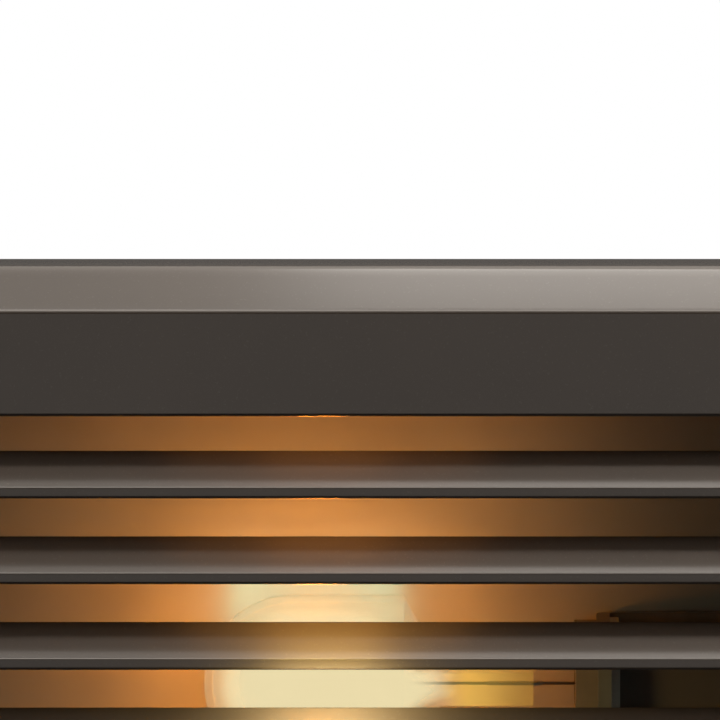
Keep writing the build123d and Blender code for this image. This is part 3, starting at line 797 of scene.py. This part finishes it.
def makeFloor(look):
    half = look["halfWidth"]
    corners = [(-half, -half, 0), (half, -half, 0), (half, half, 0), (-half, half, 0)]
    mesh = bpy.data.meshes.new("floor")
    mesh.from_pydata(corners, [], [(0, 1, 2, 3)])
    material, net, place = newMaterial("paleFloor")
    seen = net.math("MAXIMUM", net.node("ShaderNodeLightPath", out="Is Camera Ray"),
                    net.node("ShaderNodeLightPath", out="Is Glossy Ray"))
    seen = net.math("MAXIMUM", seen, net.node("ShaderNodeLightPath", out="Is Transmission Ray"))
    far = net.step(net.length(place), *look["whitens"])
    tone = net.blend(net.noise(place, look["mottleScale"], rough=0.5), look["pale"], look["shade"])
    glow = net.node("ShaderNodeEmission", {}, {"Color": white, "Strength": 1.0})
    net.close(net.mix(seen * far, net.skin(Base_Color=tone, Roughness=look["rough"]), glow))
    mesh.materials.append(material)
    floor = bpy.data.objects.new("floor", mesh)
    scene.collection.objects.link(floor)
    floor.location.z = cadBox[0][2] - look["drop"]
    floor.visible_diffuse = False
    floor.visible_glossy = False
    return floor


floor = makeFloor(floorLook)

roomLook = {
    "dim": (1.0, 0.97, 0.93),
    "dimStrength": 0.10,
    "front": (-0.10, -0.50),         # how far towards the front, by Y of the direction
    "lowFront": (0.80, 0.55),        # the front is dimmer below, by Z of the direction
    "lowFrontLess": 0.088,
    "bandBottom": (-0.20, -0.14),    # a thin paler band at the front horizon, for gloss alone
    "bandTop": (0.02, -0.04),
    "bandMore": 0.35,
    "ceiling": (1.0, 0.93, 0.85),    # for gloss alone
    "ceilingStrength": 0.85,
    "ceilingFrom": (0.25, 0.70),
}


def makeRoom(look):
    world = bpy.data.worlds.new("studio")
    world.use_nodes = True
    world.node_tree.nodes.clear()
    net = Net(world.node_tree)
    towards = net.node("ShaderNodeTexCoord", out="Generated")
    up = net.along(towards, "Z")
    glossyRay = net.node("ShaderNodeLightPath", out="Is Glossy Ray")
    front = net.step(net.along(towards, "Y"), *look["front"])
    low = front * net.step(up, *look["lowFront"])
    band = front * glossyRay * net.step(up, *look["bandBottom"]) * net.step(up, *look["bandTop"])
    strength = look["dimStrength"] - low * look["lowFrontLess"] + band * look["bandMore"]
    dim = net.node("ShaderNodeBackground", {}, {"Color": look["dim"], "Strength": strength})
    ceiling = net.node("ShaderNodeBackground", {}, {"Color": look["ceiling"],
                                                    "Strength": look["ceilingStrength"]})
    room = net.mix(glossyRay * net.step(up, *look["ceilingFrom"]), dim, ceiling)
    seen = net.math("MAXIMUM", net.node("ShaderNodeLightPath", out="Is Camera Ray"),
                    net.node("ShaderNodeLightPath", out="Is Transmission Ray"))
    backdrop = net.node("ShaderNodeBackground", {}, {"Color": white, "Strength": 1.0})
    net.close(net.mix(seen, room, backdrop), "ShaderNodeOutputWorld")
    return world


scene.world = makeRoom(roomLook)

studioPlan = {
    # name: (watts, colour, place, width, depth)
    "topLight": (0.84, (1.0, 0.95, 0.89), (0.195, 0.097, 0.42), 0.40, 0.30),
    "wideStrip": (0.14, (1.0, 0.94, 0.87), (0.0, -0.1266, 0.3448), 0.60, 0.05),
    "rightStrip": (0.88, (1.0, 0.94, 0.87), (0.165, -0.1266, 0.3448), 0.30, 0.03),
    "softFront": (0.34, (1.0, 0.93, 0.85), (0.0, -0.2137, 0.2975), 0.60, 0.10),
}
for name, (watts, color, spot, across, deep) in studioPlan.items():
    towardsObject = math.atan2(spot[1], -spot[2]) + math.pi
    addLight(name, "AREA", watts, color, spot, towardsObject, shape="RECTANGLE", size=across, size_y=deep)

cameraPlan = {
    "elevation": 5.0,        # degrees above the horizon
    "distance": 3.0,
    "aim": (1.06 * mm, -12.0 * mm, 33.24 * mm),
    "fieldWidth": 63.8 * mm,
    "filmWidth": 36.0,       # in mm, as Blender's lens
    "nearest": 0.05,
    "farthest": 100.0,
}


def makeCamera(plan):
    tilt = math.radians(plan["elevation"])
    data = bpy.data.cameras.new("camera")
    data.sensor_width = plan["filmWidth"]
    data.lens = plan["filmWidth"] * plan["distance"] / plan["fieldWidth"]
    data.clip_start = plan["nearest"]
    data.clip_end = plan["farthest"]
    camera = bpy.data.objects.new("camera", data)
    backwards = Vector((0.0, -math.cos(tilt), math.sin(tilt)))
    camera.location = Vector(plan["aim"]) + backwards * plan["distance"]
    camera.rotation_euler = (math.pi / 2 - tilt, 0.0, 0.0)
    scene.collection.objects.link(camera)
    return camera


scene.camera = makeCamera(cameraPlan)
print("stage, lights and camera ready")
